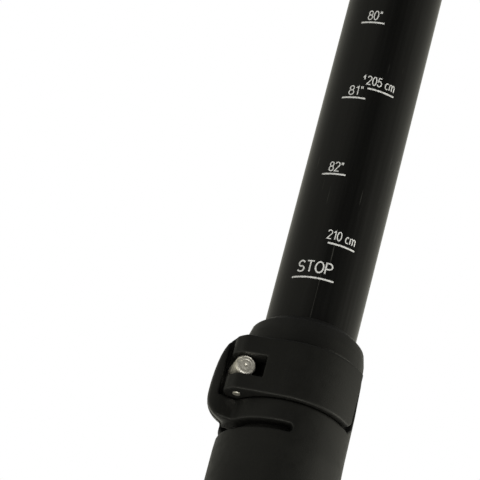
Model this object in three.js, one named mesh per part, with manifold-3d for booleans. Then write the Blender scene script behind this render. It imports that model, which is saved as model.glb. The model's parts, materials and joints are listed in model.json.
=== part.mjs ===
// Adjustable stand-up paddle: a palm grip on a graduated inner tube that slides and turns in an outer
// tube with a blade, held by a lever clamp.
// Millimetres, shaft axis on Z, +Z towards the grip, lever and scale on -Y.
import * as THREE from "three";
import { mergeVertices } from "three/addons/utils/BufferGeometryUtils.js";
import Module from "manifold-3d";

// Heights above the blade's tip. The whole part is lowered by HOLD_HEIGHT at the end.
const HOLD_HEIGHT = 1000; // where the lower hand holds the shaft, the part's origin
const RIM = 1508.4; // top rim of the clamp collar
const TRAVEL_MARK = 24.4; // the 210 cm mark above the rim when the tube is at its stop
const GRIP_SEAM = RIM + TRAVEL_MARK + 519.8; // top end of the inner tube

// Tubes
const UPPER_R = 13;
const UPPER_BORE = 11.4;
const UPPER_HIDDEN = 140; // length of inner tube below the rim
const LOWER_R = 14.5;
const LOWER_BORE = 13.3;
const LOWER_BOTTOM = 455;

// Palm grip
const GRIP_HALF_WIDTH = 42;
const GRIP_HALF_DEPTH = 17;
const NECK_R = 11.4;
const NECK_RISE = 10; // seam to the narrowest place
const NECK_TO_WIDEST = 38;
const WIDEST_TO_TOP = 23.5;

// Clamp: heights below are measured down from the rim
const COLLAR_HEIGHT = 71.1;
const COLLAR_R = 18.1;
const BAND_BORE = 14.1;
const SOCKET_BORE = 14.6;
const SOCKET_DEPTH = 37.7; // from the rim to the end of the outer tube's socket
const SOCKET_GAP = 0.2;
const LINER_R = 13.95;
const LINER_BORE = 13.25;
const LEVER_TOP = -10.2;
const LEVER_BOTTOM = -27.4;
const LEVER_R = 19;
const LEVER_BORE = 15.8;
const LEVER_END = 64; // degrees from the front to the lever's free end
const POCKET_END = 82;
const POCKET_CORNER = [73, -25.4]; // past this angle the pocket's lower edge is higher
const POCKET_FLOOR_R = 15.4;
const POCKET_GAP = 0.35;
const SLOT_TOP = -34.1;
const SLOT_HEIGHT = 2.6;
const SLOT_ENDS = [1.6, 193]; // degrees from the front, centres of the slot's round ends
const ROD_HEIGHT = -19.4;
const ROD_R = 2.9;
const THREAD_R = 2;
const PIN_R = 1.1;
const FORK_GAP = [-22.7, -16.3]; // between the ears
const FORK_DEPTH = 5.8; // from the pin to the end of the gap, along +X

// Lug frame: x radial through the lugs, y along the clamp rod towards the lever, z up
const LUG_TURN = 192; // degrees from +X to the lugs' radial direction
const ROD_OFFSET = 17.7; // rod axis to shaft axis
const PIN_AT = 9.16; // hinge pin along the rod
const CAM_R = 3.6;
const CAM_OFFSET = 0.5;
const NOSE_R = 2.5;
const LUG_FRONT = 3.9;
const LIP_FRONT = 6.5;
const LIP_INSIDE = 22;
const LUG_BACK = -7.5;
const SLIT = [-2.2, -0.2];
const LUG_RISE = 0.35; // the lugs' top and bottom climb towards the back
const CAM_PLATE = [15.9, 20.8]; // reach of the plate that the cam presses on, from the shaft axis
const PLATE = 1.05;
const FLANK = [23.9, 0.213]; // the lugs' outer face: radial reach at y 0, and gain per mm of y
const ROD_SHOULDER = -4.4;
const ROD_TAIL = -8.2;
const WASHER = [-5.85, -5.1];
const NUT = [-9.4, -6];
const NUT_R = 3.4;
const COUNTERBORE_R = 4.1;
const COUNTERBORE = -5; // floor of the counterbore that the washer lies in

// Blade
const BLADE_LENGTH = 455;
const BLADE_HALF_WIDTH = 100;
const BLADE_RAKE = 10; // degrees
const BLADE_DISH = 9; // depth of the hollow front face
const BLADE_SOCKET_R = 17.3;
const BLADE_SOCKET_TOP = 530;

// Clearances
const FIT = 0.15; // around plugs, rivets and the tube in the blade's socket
const TOUCH = 0.05; // between faces that rest on each other
const PIN_FIT = 0.1;
const ROD_FIT = 0.2;

const ROUND = 40; // sides of a full turn
const rad = THREE.MathUtils.degToRad;

const wasm = await Module();
wasm.setup();

// --- solids ---

function solidOf(geometry) {
  const bare = geometry.clone();
  bare.deleteAttribute("normal");
  bare.deleteAttribute("uv");
  const merged = mergeVertices(bare, 1e-4);
  const vertProperties = merged.attributes.position.array;
  const triVerts = new Uint32Array(merged.index.array);
  return new wasm.Manifold(new wasm.Mesh({ numProp: 3, vertProperties, triVerts }));
}

function geometryOf(solid) {
  const { vertProperties, triVerts } = solid.getMesh();
  const geometry = new THREE.BufferGeometry();
  geometry.setAttribute("position", new THREE.BufferAttribute(vertProperties, 3));
  geometry.setIndex(new THREE.BufferAttribute(triVerts, 1));
  geometry.computeVertexNormals();
  return geometry;
}

// A solid turned about Z from a profile of [radius, height] points.
function turned(profile, sides = ROUND) {
  const points = profile.map(([r, z]) => new THREE.Vector2(r, z));
  return new THREE.LatheGeometry(points, sides).rotateX(Math.PI / 2);
}

function ring(inner, outer, low, high, sides = ROUND) {
  return turned([[inner, low], [outer, low], [outer, high], [inner, high], [inner, low]], sides);
}

function disc(radius, low, high, sides = ROUND) {
  return turned([[0, low], [radius, low], [radius, high], [0, high]], sides);
}

function prism(shape, low, high) {
  const options = { depth: high - low, bevelEnabled: false, curveSegments: 8 };
  return new THREE.ExtrudeGeometry(shape, options).translate(0, 0, low);
}

function box(low, high) {
  const size = high.map((value, axis) => value - low[axis]);
  const middle = high.map((value, axis) => (value + low[axis]) / 2);
  return new THREE.BoxGeometry(...size).translate(...middle);
}

// A shape turned about Z so that its y runs along the lug frame's rod axis.
function alongRod(geometry, height = ROD_HEIGHT) {
  return geometry.rotateX(-Math.PI / 2).translate(ROD_OFFSET, 0, height);
}

function lugFrame(geometry) {
  return geometry.rotateZ(rad(LUG_TURN));
}

// A closed skin through rings of points: at(along, around) gives each point for values from 0 to 1.
function skin(rings, sides, at) {
  const points = [];
  for (let i = 0; i <= rings; i += 1) {
    for (let j = 0; j < sides; j += 1) points.push(at(i / rings, j / sides));
  }
  const ends = [0, rings].map((i) => {
    const middle = new THREE.Vector3();
    for (let j = 0; j < sides; j += 1) middle.addScaledVector(points[i * sides + j], 1 / sides);
    return points.push(middle) - 1;
  });
  const faces = [];
  for (let j = 0; j < sides; j += 1) {
    const next = (j + 1) % sides;
    for (let i = 0; i < rings; i += 1) {
      const a = i * sides + j;
      const b = i * sides + next;
      faces.push(a, b, b + sides, a, b + sides, a + sides);
    }
    faces.push(ends[0], next, j);
    faces.push(ends[1], rings * sides + j, rings * sides + next);
  }
  const geometry = new THREE.BufferGeometry().setFromPoints(points);
  geometry.setIndex(faces);
  geometry.computeVertexNormals();
  return geometry;
}

// The convex outline around circles of [x, y, radius].
function outlineAround(circles) {
  const points = circles.flatMap(([x, y, radius]) => Array.from({ length: 32 }, (_, i) => {
    const turn = (i * Math.PI) / 16;
    return new THREE.Vector2(x + radius * Math.cos(turn), y + radius * Math.sin(turn));
  }));
  points.sort((a, b) => a.x - b.x || a.y - b.y);
  const half = (list) => {
    const kept = [];
    for (const point of list) {
      while (kept.length > 1 && turnAt(kept.at(-2), kept.at(-1), point) <= 1e-9) kept.pop();
      kept.push(point);
    }
    return kept.slice(0, -1);
  };
  return new THREE.Shape([...half(points), ...half([...points].reverse())]);
}

function turnAt(a, b, c) {
  return (b.x - a.x) * (c.y - a.y) - (b.y - a.y) * (c.x - a.x);
}

// A slice of a ring between two angles in degrees, counted from the front (-Y) towards +X.
function sector(inner, outer, from, to) {
  const [start, end] = [rad(from - 90), rad(to - 90)];
  const shape = new THREE.Shape();
  shape.absarc(0, 0, outer, start, end, false);
  shape.absarc(0, 0, inner, end, start, true);
  shape.closePath();
  return shape;
}

// --- materials ---

const finish = (color, roughness, metalness = 0) => () =>
  new THREE.MeshStandardMaterial({ color, roughness, metalness });
const blackTube = finish(0x17181a, 0.45, 0.3);
const blackNylon = finish(0x1c1d1e, 0.7);
const gripPlastic = finish(0x191a1c, 0.4);
const bladePlastic = finish(0x1b1c1e, 0.5);
const brightSteel = finish(0xc9c6bd, 0.3, 1);
const paleNylon = finish(0xb9b7ae, 0.6);
const rubber = finish(0x101010, 0.9);
const foam = finish(0xd8d4c8, 0.95);

const paddle = new THREE.Group();
const clamp = new THREE.Group();
clamp.position.z = RIM;
paddle.add(clamp);

function add(group, name, geometry, material) {
  const mesh = new THREE.Mesh(geometry, material());
  mesh.name = name;
  group.add(mesh);
}

// --- upper part: grip, graduated tube and what it holds ---

const RIVET_R = 1.6;
const RIVET_DROP = 8; // below the seam
const RIVET_TURN = 38; // degrees from the front
const RIVET_HEAD_R = 2.7;
const SEAM_GAP = 0.3; // between the tube's end and the grip
const GRIP_PLUG = 45; // how far the grip's plug reaches into the tube

// A radial cylinder through the tube wall at a rivet.
function rivetHole(radius, from, to, turn) {
  const hole = new THREE.CylinderGeometry(radius, radius, to - from, 16);
  hole.translate(0, -(from + to) / 2, 0);
  return solidOf(hole.rotateZ(rad(turn)).translate(0, 0, GRIP_SEAM - RIVET_DROP));
}

function rivetTurns() {
  return [RIVET_TURN, RIVET_TURN + 180];
}

function gripGeometry() {
  const height = NECK_RISE + NECK_TO_WIDEST + WIDEST_TO_TOP;
  const at = (along, around) => {
    const rise = height * Math.sin((along * Math.PI) / 2) ** 0.9;
    const z = Math.min(rise, height - 0.05);
    const { width, depth, power } = gripSection(z);
    const turn = around * 2 * Math.PI;
    const [c, s] = [Math.cos(turn), Math.sin(turn)];
    const x = width * Math.sign(c) * Math.abs(c) ** (2 / power);
    const y = depth * Math.sign(s) * Math.abs(s) ** (2 / power);
    return new THREE.Vector3(x, y, GRIP_SEAM + SEAM_GAP + z);
  };
  const head = solidOf(skin(22, 24, at));
  const plug = solidOf(disc(UPPER_BORE - FIT, GRIP_SEAM - GRIP_PLUG, GRIP_SEAM + 1));
  const cuts = rivetTurns().map((turn) => rivetHole(RIVET_R + FIT, 5, 14, turn));
  return geometryOf(cuts.reduce((solid, cut) => solid.subtract(cut), head.add(plug)));
}

// Half width, half depth and roundness of the grip at a height above the seam.
function gripSection(z) {
  const neck = NECK_RISE;
  const widest = neck + NECK_TO_WIDEST;
  if (z < neck) {
    const taper = Math.cos((z / neck) * Math.PI) * 0.5 + 0.5;
    const radius = NECK_R + (UPPER_R - NECK_R) * taper;
    return { width: radius, depth: radius, power: 2 };
  }
  if (z < widest) {
    const swell = Math.sin((((z - neck) / NECK_TO_WIDEST) * Math.PI) / 2) ** 1.45;
    const width = NECK_R + (GRIP_HALF_WIDTH - NECK_R) * swell;
    const depth = NECK_R + (GRIP_HALF_DEPTH - NECK_R) * swell;
    return { width, depth, power: 2 - 0.25 * Math.sin(swell * Math.PI) };
  }
  const crown = (1 - ((z - widest) / WIDEST_TO_TOP) ** 2.35) ** (1 / 2.35);
  return { width: GRIP_HALF_WIDTH * crown, depth: GRIP_HALF_DEPTH * crown, power: 2 };
}

function upperShaftGeometry() {
  const tube = solidOf(ring(UPPER_BORE, UPPER_R, RIM - UPPER_HIDDEN, GRIP_SEAM));
  const cuts = rivetTurns().map((turn) => rivetHole(RIVET_R + FIT, 8, 16, turn));
  return geometryOf(cuts.reduce((solid, cut) => solid.subtract(cut), tube));
}

// A rivet with a low domed head that stands on the tube's outside.
function rivetGeometry(turn) {
  const seat = UPPER_R + TOUCH;
  const dome = turned([
    [0, 6.5],
    [RIVET_R, 6.5],
    [RIVET_R, seat],
    [RIVET_HEAD_R, seat],
    [RIVET_HEAD_R * 0.8, seat + 0.65],
    [0, seat + 0.95],
  ], 16);
  dome.rotateX(Math.PI / 2);
  return dome.rotateZ(rad(turn)).translate(0, 0, GRIP_SEAM - RIVET_DROP);
}

add(paddle, "palm_grip", gripGeometry(), gripPlastic);
add(paddle, "upper_shaft", upperShaftGeometry(), blackTube);
add(paddle, "grip_rivet_front", rivetGeometry(rivetTurns()[0]), blackTube);
add(paddle, "grip_rivet_rear", rivetGeometry(rivetTurns()[1]), blackTube);
add(paddle, "upper_foam_plug", disc(UPPER_BORE - FIT, GRIP_SEAM - 75, GRIP_SEAM - 48), foam);

// End plug: a spigot in the tube, a flange, a waist for the seal and glide rings, and an end flange.
const PLUG_WAIST_R = 9;
const PLUG_FLANGE_R = 12.9;
const PLUG_FLANGE = 3; // thickness
const PLUG_SPIGOT = 25;
const SEAL_HEIGHT = 2.5;
const RING_GAP = 0.2; // above and below the glide ring
const plugTop = RIM - UPPER_HIDDEN;
const sealLow = plugTop - PLUG_FLANGE - SEAL_HEIGHT - 0.3;
const glideLow = sealLow - 9;
const endPlug = turned([
  [0, glideLow - RING_GAP - PLUG_FLANGE],
  [PLUG_FLANGE_R, glideLow - RING_GAP - PLUG_FLANGE],
  [PLUG_FLANGE_R, glideLow - RING_GAP],
  [PLUG_WAIST_R, glideLow - RING_GAP],
  [PLUG_WAIST_R, plugTop - PLUG_FLANGE],
  [PLUG_FLANGE_R, plugTop - PLUG_FLANGE],
  [PLUG_FLANGE_R, plugTop - 0.1],
  [UPPER_BORE - FIT, plugTop - 0.1],
  [UPPER_BORE - FIT, plugTop + PLUG_SPIGOT],
  [0, plugTop + PLUG_SPIGOT],
]);
add(paddle, "shaft_end_plug", endPlug, blackNylon);
const ringInside = PLUG_WAIST_R + 0.1;
const ringOutside = LOWER_BORE - 0.1;
const sealTop = sealLow + SEAL_HEIGHT;
const sealRing = turned([
  [ringInside, sealLow + 0.7],
  [ringInside + 1.1, sealLow],
  [ringOutside - 1.2, sealLow],
  [ringOutside, (sealLow + sealTop) / 2],
  [ringOutside - 1.2, sealTop],
  [ringInside + 1.1, sealTop],
  [ringInside, sealTop - 0.7],
  [ringInside, sealLow + 0.7],
]);
add(paddle, "seal_ring", sealRing, rubber);
add(paddle, "glide_ring", ring(ringInside, ringOutside, glideLow, sealLow - RING_GAP), paleNylon);

// --- lower part: outer tube, its foam plug and the blade ---

// Cross rivet through the blade's socket and the tube, with a domed head at each side.
const CROSS_RIVET_R = 2;
const CROSS_RIVET_HEAD_R = 3.4;
const crossRivetZ = BLADE_SOCKET_TOP - 12;

function crossRivetHole() {
  const radius = CROSS_RIVET_R + FIT;
  return solidOf(new THREE.CylinderGeometry(radius, radius, 60, 16)).translate(0, 0, crossRivetZ);
}

function crossRivetGeometry() {
  const reach = BLADE_SOCKET_R + 0.1;
  const profile = [
    [0, -reach - 1.2],
    [CROSS_RIVET_HEAD_R - 0.6, -reach - 0.8],
    [CROSS_RIVET_HEAD_R, -reach],
    [CROSS_RIVET_R, -reach],
    [CROSS_RIVET_R, reach],
    [CROSS_RIVET_HEAD_R, reach],
    [CROSS_RIVET_HEAD_R - 0.6, reach + 0.8],
    [0, reach + 1.2],
  ];
  return turned(profile, 16).rotateX(Math.PI / 2).translate(0, 0, crossRivetZ);
}

function lowerShaftGeometry() {
  const tube = solidOf(ring(LOWER_BORE, LOWER_R, LOWER_BOTTOM, RIM - SOCKET_DEPTH - SOCKET_GAP));
  return geometryOf(tube.subtract(crossRivetHole()));
}

// Half width, half thickness and roundness of the blade from its tip (0) to its throat (1).
function bladeSection(along) {
  const spread = Math.sin(Math.PI * along ** 0.716) ** (0.6 + 0.6 * along);
  const width = 1 + (BLADE_HALF_WIDTH - 1) * Math.max(spread, 0) + 15 * along ** 3;
  const thickness = 1.6 + 3 * Math.sin(Math.PI * along * 0.5) + 11 * along ** 5;
  return { width, thickness, power: 1.25 + 0.75 * along ** 4 };
}

function bladeGeometry() {
  const throat = BLADE_LENGTH * Math.cos(rad(BLADE_RAKE));
  const at = (step, around) => {
    const along = 0.5 - 0.5 * Math.cos(step * Math.PI);
    const { width, thickness, power } = bladeSection(Math.max(along, 0.0008));
    const turn = around * 2 * Math.PI;
    const [c, s] = [Math.cos(turn), Math.sin(turn)];
    const x = width * Math.sign(c) * Math.abs(c) ** (2 / power);
    const y = thickness * Math.sign(s) * Math.abs(s) ** (2 / power);
    const dish = BLADE_DISH * Math.sin(Math.PI * along) ** 2;
    return new THREE.Vector3(x, y + dish, BLADE_LENGTH * (along - 1));
  };
  const paddleBlade = skin(20, 20, at).rotateX(-rad(BLADE_RAKE)).translate(0, 0, throat);
  const socket = turned([
    [0, throat - 16],
    [9, throat - 13],
    [BLADE_SOCKET_R - 1, throat - 4],
    [BLADE_SOCKET_R, throat + 6],
    [BLADE_SOCKET_R, BLADE_SOCKET_TOP - 4],
    [BLADE_SOCKET_R - 1.6, BLADE_SOCKET_TOP],
    [0, BLADE_SOCKET_TOP],
  ]);
  const bore = solidOf(disc(LOWER_R + FIT, LOWER_BOTTOM - 0.3, BLADE_SOCKET_TOP + 10));
  const body = solidOf(paddleBlade).add(solidOf(socket));
  return geometryOf(body.subtract(bore).subtract(crossRivetHole()));
}

add(paddle, "lower_shaft", lowerShaftGeometry(), blackTube);
add(paddle, "lower_foam_plug", disc(LOWER_BORE - FIT, LOWER_BOTTOM + 15, LOWER_BOTTOM + 50), foam);
add(paddle, "blade_rivet", crossRivetGeometry(), brightSteel);
add(paddle, "blade", bladeGeometry(), bladePlastic);

// --- clamp collar ---

// Plan outline of both lugs in the lug frame: the outer side leans, so that the lugs' flank faces -X.
function lugPlan() {
  const shape = new THREE.Shape();
  const flank = (y) => FLANK[0] + FLANK[1] * y;
  shape.moveTo(10, LUG_BACK);
  shape.lineTo(flank(LUG_BACK) - 3, LUG_BACK);
  shape.quadraticCurveTo(flank(LUG_BACK), LUG_BACK, flank(LUG_BACK + 3), LUG_BACK + 3);
  shape.lineTo(flank(LIP_FRONT - 2), LIP_FRONT - 2);
  shape.quadraticCurveTo(flank(LIP_FRONT), LIP_FRONT, flank(LIP_FRONT) - 1.8, LIP_FRONT);
  shape.lineTo(10, LIP_FRONT);
  return shape;
}

// Side outline of the lugs in X and Z: sloping shoulder, full belly, tucked under at the slot.
function lugSide() {
  const shape = new THREE.Shape();
  shape.moveTo(-8, -8.2);
  shape.lineTo(-18.2, -8.2);
  shape.quadraticCurveTo(-21.6, -10.2, -22.6, -17.5);
  shape.quadraticCurveTo(-23.6, -25, -23, -28.2);
  shape.quadraticCurveTo(-22.2, -32.4, -17.6, SLOT_TOP);
  shape.lineTo(-8, SLOT_TOP);
  return shape;
}

function collarProfile() {
  return [
    [13.3, 0],
    [13.3, -1.5],
    [BAND_BORE, -1.5],
    [BAND_BORE, -SOCKET_DEPTH],
    [SOCKET_BORE, -SOCKET_DEPTH],
    [SOCKET_BORE, -COLLAR_HEIGHT],
    [COLLAR_R - 0.8, -COLLAR_HEIGHT],
    [COLLAR_R, 1.3 - COLLAR_HEIGHT],
    [COLLAR_R, SLOT_TOP - SLOT_HEIGHT],
    [COLLAR_R - 0.2, SLOT_TOP],
    [COLLAR_R - 0.4, -20],
    [17.3, -11],
    [16.8, -5],
    [16.2, -2.2],
    [13.9, 0],
    [13.3, 0],
  ];
}

// The space that the lever and its fork lie in, down to a round floor on the band.
function pocket() {
  const [low, high] = [LEVER_BOTTOM - POCKET_GAP, LEVER_TOP + POCKET_GAP];
  const front = solidOf(prism(sector(POCKET_FLOOR_R - 2, 30, -60, POCKET_END), low, high));
  const [cornerTurn, cornerTop] = POCKET_CORNER;
  const corner = solidOf(prism(sector(5, 40, cornerTurn, POCKET_END + 5), low - 1, cornerTop));
  const fork = solidOf(lugFrame(box([10, LUG_FRONT, low], [LIP_INSIDE, 20, high])));
  const floor = solidOf(disc(POCKET_FLOOR_R, low - 1, high + 1));
  return front.subtract(corner).add(fork).subtract(floor);
}

// The slot that frees the clamp band: a part turn with round ends, open right through the wall.
function bandSlot() {
  const [to, from] = [SLOT_ENDS[0], -SLOT_ENDS[1] + 30];
  const low = SLOT_TOP - SLOT_HEIGHT;
  const slot = solidOf(prism(sector(12, 30, from, to), low, SLOT_TOP));
  const ends = [from, to].map((turn) => {
    const end = new THREE.CylinderGeometry(SLOT_HEIGHT / 2, SLOT_HEIGHT / 2, 18, 16);
    end.translate(0, -21, 0);
    return solidOf(end.rotateZ(rad(turn)).translate(0, 0, low + SLOT_HEIGHT / 2));
  });
  return ends.reduce((solid, end) => solid.add(end), slot);
}

function rodBore(radius, from, to) {
  return solidOf(lugFrame(alongRod(disc(radius, from, to, 24))));
}

function collarGeometry() {
  const plan = solidOf(lugFrame(prism(lugPlan(), SLOT_TOP, -5)));
  const rising = new THREE.Matrix4().makeShear(0, 0, 0, LUG_RISE, 0, 0);
  const sideOutline = prism(lugSide(), -30, 30).rotateX(Math.PI / 2).applyMatrix4(rising);
  const side = solidOf(sideOutline.translate(0, 0, 8 * LUG_RISE));
  const bore = solidOf(disc(POCKET_FLOOR_R - 1, -50, 10));
  const lugs = plan.intersect(side).subtract(bore);
  const slit = solidOf(lugFrame(box([10, SLIT[0], SLOT_TOP - 1], [30, SLIT[1], 5])));
  const body = solidOf(turned(collarProfile())).add(lugs);
  const cuts = [pocket(), bandSlot(), slit, rodBore(ROD_R + ROD_FIT, -20, 12)];
  cuts.push(rodBore(COUNTERBORE_R, -20, COUNTERBORE));
  return geometryOf(cuts.reduce((solid, cut) => solid.subtract(cut), body));
}

function linerGeometry() {
  const sleeve = solidOf(ring(LINER_BORE, LINER_R, SOCKET_GAP - SOCKET_DEPTH, -1.7));
  const split = solidOf(lugFrame(box([10, SLIT[0], -50], [30, SLIT[1], 5])));
  return geometryOf(sleeve.subtract(split));
}

add(clamp, "clamp_collar", collarGeometry(), blackNylon);
add(clamp, "collar_liner", linerGeometry(), blackNylon);

// --- lever, its pin, the rod and what it pulls on ---

// A point of the lug frame in the clamp's own X and Y.
function fromLugFrame(radial, along) {
  const turn = rad(LUG_TURN);
  const x = radial * Math.cos(turn) - along * Math.sin(turn);
  const y = radial * Math.sin(turn) + along * Math.cos(turn);
  return [x, y];
}

function leverGeometry() {
  const [pinX, pinY] = fromLugFrame(ROD_OFFSET, PIN_AT);
  const cam = [...fromLugFrame(ROD_OFFSET, PIN_AT - CAM_OFFSET), CAM_R];
  const nose = [pinX + 0.2, pinY - 1.5, NOSE_R];
  const thick = (LEVER_R - LEVER_BORE) / 2;
  const middle = LEVER_R - thick;
  const root = [middle * Math.sin(rad(-14)), -middle * Math.cos(rad(-14)), thick];
  const fork = solidOf(prism(outlineAround([cam, nose, root]), LEVER_BOTTOM, LEVER_TOP));
  const arm = solidOf(prism(sector(LEVER_BORE, LEVER_R, -20, LEVER_END), LEVER_BOTTOM, LEVER_TOP));
  const inside = solidOf(disc(LEVER_BORE, -50, 10));
  const [gapLow, gapHigh] = FORK_GAP;
  const gap = solidOf(box([pinX - 10, pinY - 10, gapLow], [pinX + FORK_DEPTH, pinY + 12, gapHigh]));
  const pinHole = solidOf(disc(PIN_R + PIN_FIT, -50, 10, 16).translate(pinX, pinY, 0));
  return geometryOf(fork.add(arm).subtract(inside).subtract(gap).subtract(pinHole));
}

function rodGeometry() {
  const end = PIN_AT + 2.6;
  const shank = turned([
    [0, ROD_TAIL],
    [THREAD_R, ROD_TAIL],
    [THREAD_R, ROD_SHOULDER],
    [ROD_R, ROD_SHOULDER],
    [ROD_R, end - 0.3],
    [ROD_R - 0.3, end],
    [0, end],
  ], 24);
  const [pinX, pinY] = fromLugFrame(ROD_OFFSET, PIN_AT);
  const crossHole = solidOf(disc(PIN_R + PIN_FIT, -50, 10, 16).translate(pinX, pinY, 0));
  return geometryOf(solidOf(lugFrame(alongRod(shank))).subtract(crossHole));
}

function camPlateGeometry() {
  const [back, front] = [LUG_FRONT + TOUCH, LUG_FRONT + TOUCH + PLATE];
  const [inner, outer] = CAM_PLATE;
  const plate = solidOf(lugFrame(box([inner, back, LEVER_BOTTOM], [outer, front, LEVER_TOP])));
  const hole = solidOf(lugFrame(alongRod(disc(ROD_R + ROD_FIT, -10, 20, 24))));
  return geometryOf(plate.subtract(hole));
}

// Round nut with a hex socket in its outer end.
function nutGeometry() {
  const body = solidOf(disc(NUT_R, ...NUT, 24));
  const thread = solidOf(disc(THREAD_R + 0.1, ROD_TAIL - 0.2, -5, 16));
  const socket = solidOf(disc(1.7, -10, ROD_TAIL + 0.2, 6));
  return geometryOf(solidOf(lugFrame(alongRod(geometryOf(body.subtract(thread).subtract(socket))))));
}

const [pinX, pinY] = fromLugFrame(ROD_OFFSET, PIN_AT);
const pin = disc(PIN_R, LEVER_BOTTOM - 0.1, LEVER_TOP - 0.4, 16).translate(pinX, pinY, 0);
add(clamp, "clamp_lever", leverGeometry(), blackNylon);
add(clamp, "hinge_pin", pin, brightSteel);
add(clamp, "clamp_rod", rodGeometry(), brightSteel);
add(clamp, "cam_plate", camPlateGeometry(), blackNylon);
add(clamp, "rod_washer", lugFrame(alongRod(ring(THREAD_R + 0.1, 3.7, ...WASHER, 24))), brightSteel);
add(clamp, "tension_nut", nutGeometry(), brightSteel);

paddle.position.z = -HOLD_HEIGHT;

export default paddle;
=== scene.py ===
"""Adjustable stand-up paddle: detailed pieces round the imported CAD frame, their materials, and a studio.

Row frame: metres, +Z along the shaft to the grip, scale and clamp lever on -Y, lugs of the clamp on -X.
The moulded clamp parts are modelled as distance fields in millimetres, measured from the clamp's top rim.
"""

import json
import math

import bmesh
import bpy
import numpy as np
from mathutils import Matrix, Vector

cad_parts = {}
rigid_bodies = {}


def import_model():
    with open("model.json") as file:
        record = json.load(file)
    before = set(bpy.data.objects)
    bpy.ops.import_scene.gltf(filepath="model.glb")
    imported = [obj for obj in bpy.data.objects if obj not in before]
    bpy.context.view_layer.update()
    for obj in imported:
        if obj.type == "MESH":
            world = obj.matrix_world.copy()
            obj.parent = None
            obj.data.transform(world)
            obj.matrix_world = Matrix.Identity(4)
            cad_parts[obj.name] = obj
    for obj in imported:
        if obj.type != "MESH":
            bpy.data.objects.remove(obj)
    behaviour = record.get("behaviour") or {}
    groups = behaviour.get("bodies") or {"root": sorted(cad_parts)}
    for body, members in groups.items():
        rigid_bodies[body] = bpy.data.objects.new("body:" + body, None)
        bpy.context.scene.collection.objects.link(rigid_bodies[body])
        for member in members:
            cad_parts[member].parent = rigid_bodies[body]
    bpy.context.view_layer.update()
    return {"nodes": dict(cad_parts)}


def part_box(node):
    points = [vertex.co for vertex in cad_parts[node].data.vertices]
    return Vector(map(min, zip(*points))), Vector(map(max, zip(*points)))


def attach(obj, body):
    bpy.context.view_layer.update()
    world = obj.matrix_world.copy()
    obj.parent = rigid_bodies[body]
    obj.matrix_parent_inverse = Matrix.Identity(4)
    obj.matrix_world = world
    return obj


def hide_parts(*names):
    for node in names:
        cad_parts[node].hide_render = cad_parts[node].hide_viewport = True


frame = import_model()

MM = 0.001
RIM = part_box("clamp_collar")[1].z
COLLAR_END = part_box("clamp_collar")[0].z
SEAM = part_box("upper_shaft")[1].z
TUBE_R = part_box("upper_shaft")[1].x
TUBE_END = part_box("upper_shaft")[0].z
OUTER_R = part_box("lower_shaft")[1].x
OUTER_LOW, OUTER_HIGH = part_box("lower_shaft")[0].z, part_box("lower_shaft")[1].z
INNER_WALL, OUTER_WALL = 1.6 * MM, 1.2 * MM


# --- meshes ---


def add_piece(name, verts, faces, body, slot, material, stands_for=(), smooth=True):
    """A mesh that rides on a CAD body and takes the place of CAD nodes."""
    mesh = bpy.data.meshes.new(name)
    mesh.from_pydata([tuple(v) for v in verts], [], [tuple(f) for f in faces])
    mesh.validate()
    shell = bmesh.new()
    shell.from_mesh(mesh)
    bmesh.ops.recalc_face_normals(shell, faces=shell.faces)
    shell.to_mesh(mesh)
    shell.free()
    if smooth:
        mesh.shade_smooth()
    piece = bpy.data.objects.new(name, mesh)
    bpy.context.scene.collection.objects.link(piece)
    piece.data.materials.append(material)
    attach(piece, body)
    if stands_for:
        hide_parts(*stands_for)
    return piece


def rounded(profile, radius, steps=4):
    """A closed [radius, height] outline whose corners off the axis are rounded by short arcs."""
    out = []
    count = len(profile)
    for i, point in enumerate(profile):
        here = Vector(point)
        before, after = Vector(profile[i - 1]), Vector(profile[(i + 1) % count])
        if here.x < 1e-9:
            out.append(here)
            continue
        near = min(radius, (before - here).length * 0.45, (after - here).length * 0.45)
        start = here + (before - here).normalized() * near
        end = here + (after - here).normalized() * near
        for k in range(steps + 1):
            t = k / steps
            out.append(start * (1 - t) ** 2 + here * 2 * t * (1 - t) + end * t**2)
    return out


def lathe(profile, sides, radius=0.25 * MM):
    """Vertices and faces of a closed outline of [radius, height] points turned about Z."""
    outline = rounded(profile, radius)
    verts, faces, rows = [], [], []
    for point in outline:
        if point.x < 1e-9:
            rows.append([len(verts)] * sides)
            verts.append((0, 0, point.y))
            continue
        rows.append([len(verts) + j for j in range(sides)])
        for j in range(sides):
            turn = 2 * math.pi * j / sides
            verts.append((point.x * math.cos(turn), point.x * math.sin(turn), point.y))
    for row, above in zip(rows, rows[1:] + rows[:1]):
        for j in range(sides):
            k = (j + 1) % sides
            corners = [row[j], row[k], above[k], above[j]]
            face = [c for n, c in enumerate(corners) if c not in corners[:n]]
            if len(face) > 2:
                faces.append(face)
    return verts, faces


def ring_skin(rows):
    """Faces between rings of points, with a flat face at each end."""
    sides = len(rows[0])
    faces = [tuple(range(sides))[::-1], tuple((len(rows) - 1) * sides + j for j in range(sides))]
    for i in range(len(rows) - 1):
        a, b = i * sides, (i + 1) * sides
        for j in range(sides):
            k = (j + 1) % sides
            faces.append((a + j, a + k, b + k, b + j))
    return [point for row in rows for point in row], faces


def oval(width, depth, power, z, sides=128):
    """A ring of points; power 2 is an ellipse and less is more pointed."""
    row = []
    for j in range(sides):
        turn = 2 * math.pi * j / sides
        c, s = math.cos(turn), math.sin(turn)
        x = math.copysign(width * abs(c) ** (2 / power), c)
        y = math.copysign(depth * abs(s) ** (2 / power), s)
        row.append(Vector((x, y, z)))
    return row


def joined(*meshes):
    """Several meshes as one."""
    verts, faces = [], []
    for more_verts, more_faces in meshes:
        offset = len(verts)
        verts += list(more_verts)
        faces += [tuple(offset + i for i in f) for f in more_faces]
    return verts, faces


def placed(verts, matrix):
    return [matrix @ Vector(v) for v in verts]


# --- distance fields, in millimetres from the rim ---


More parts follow.
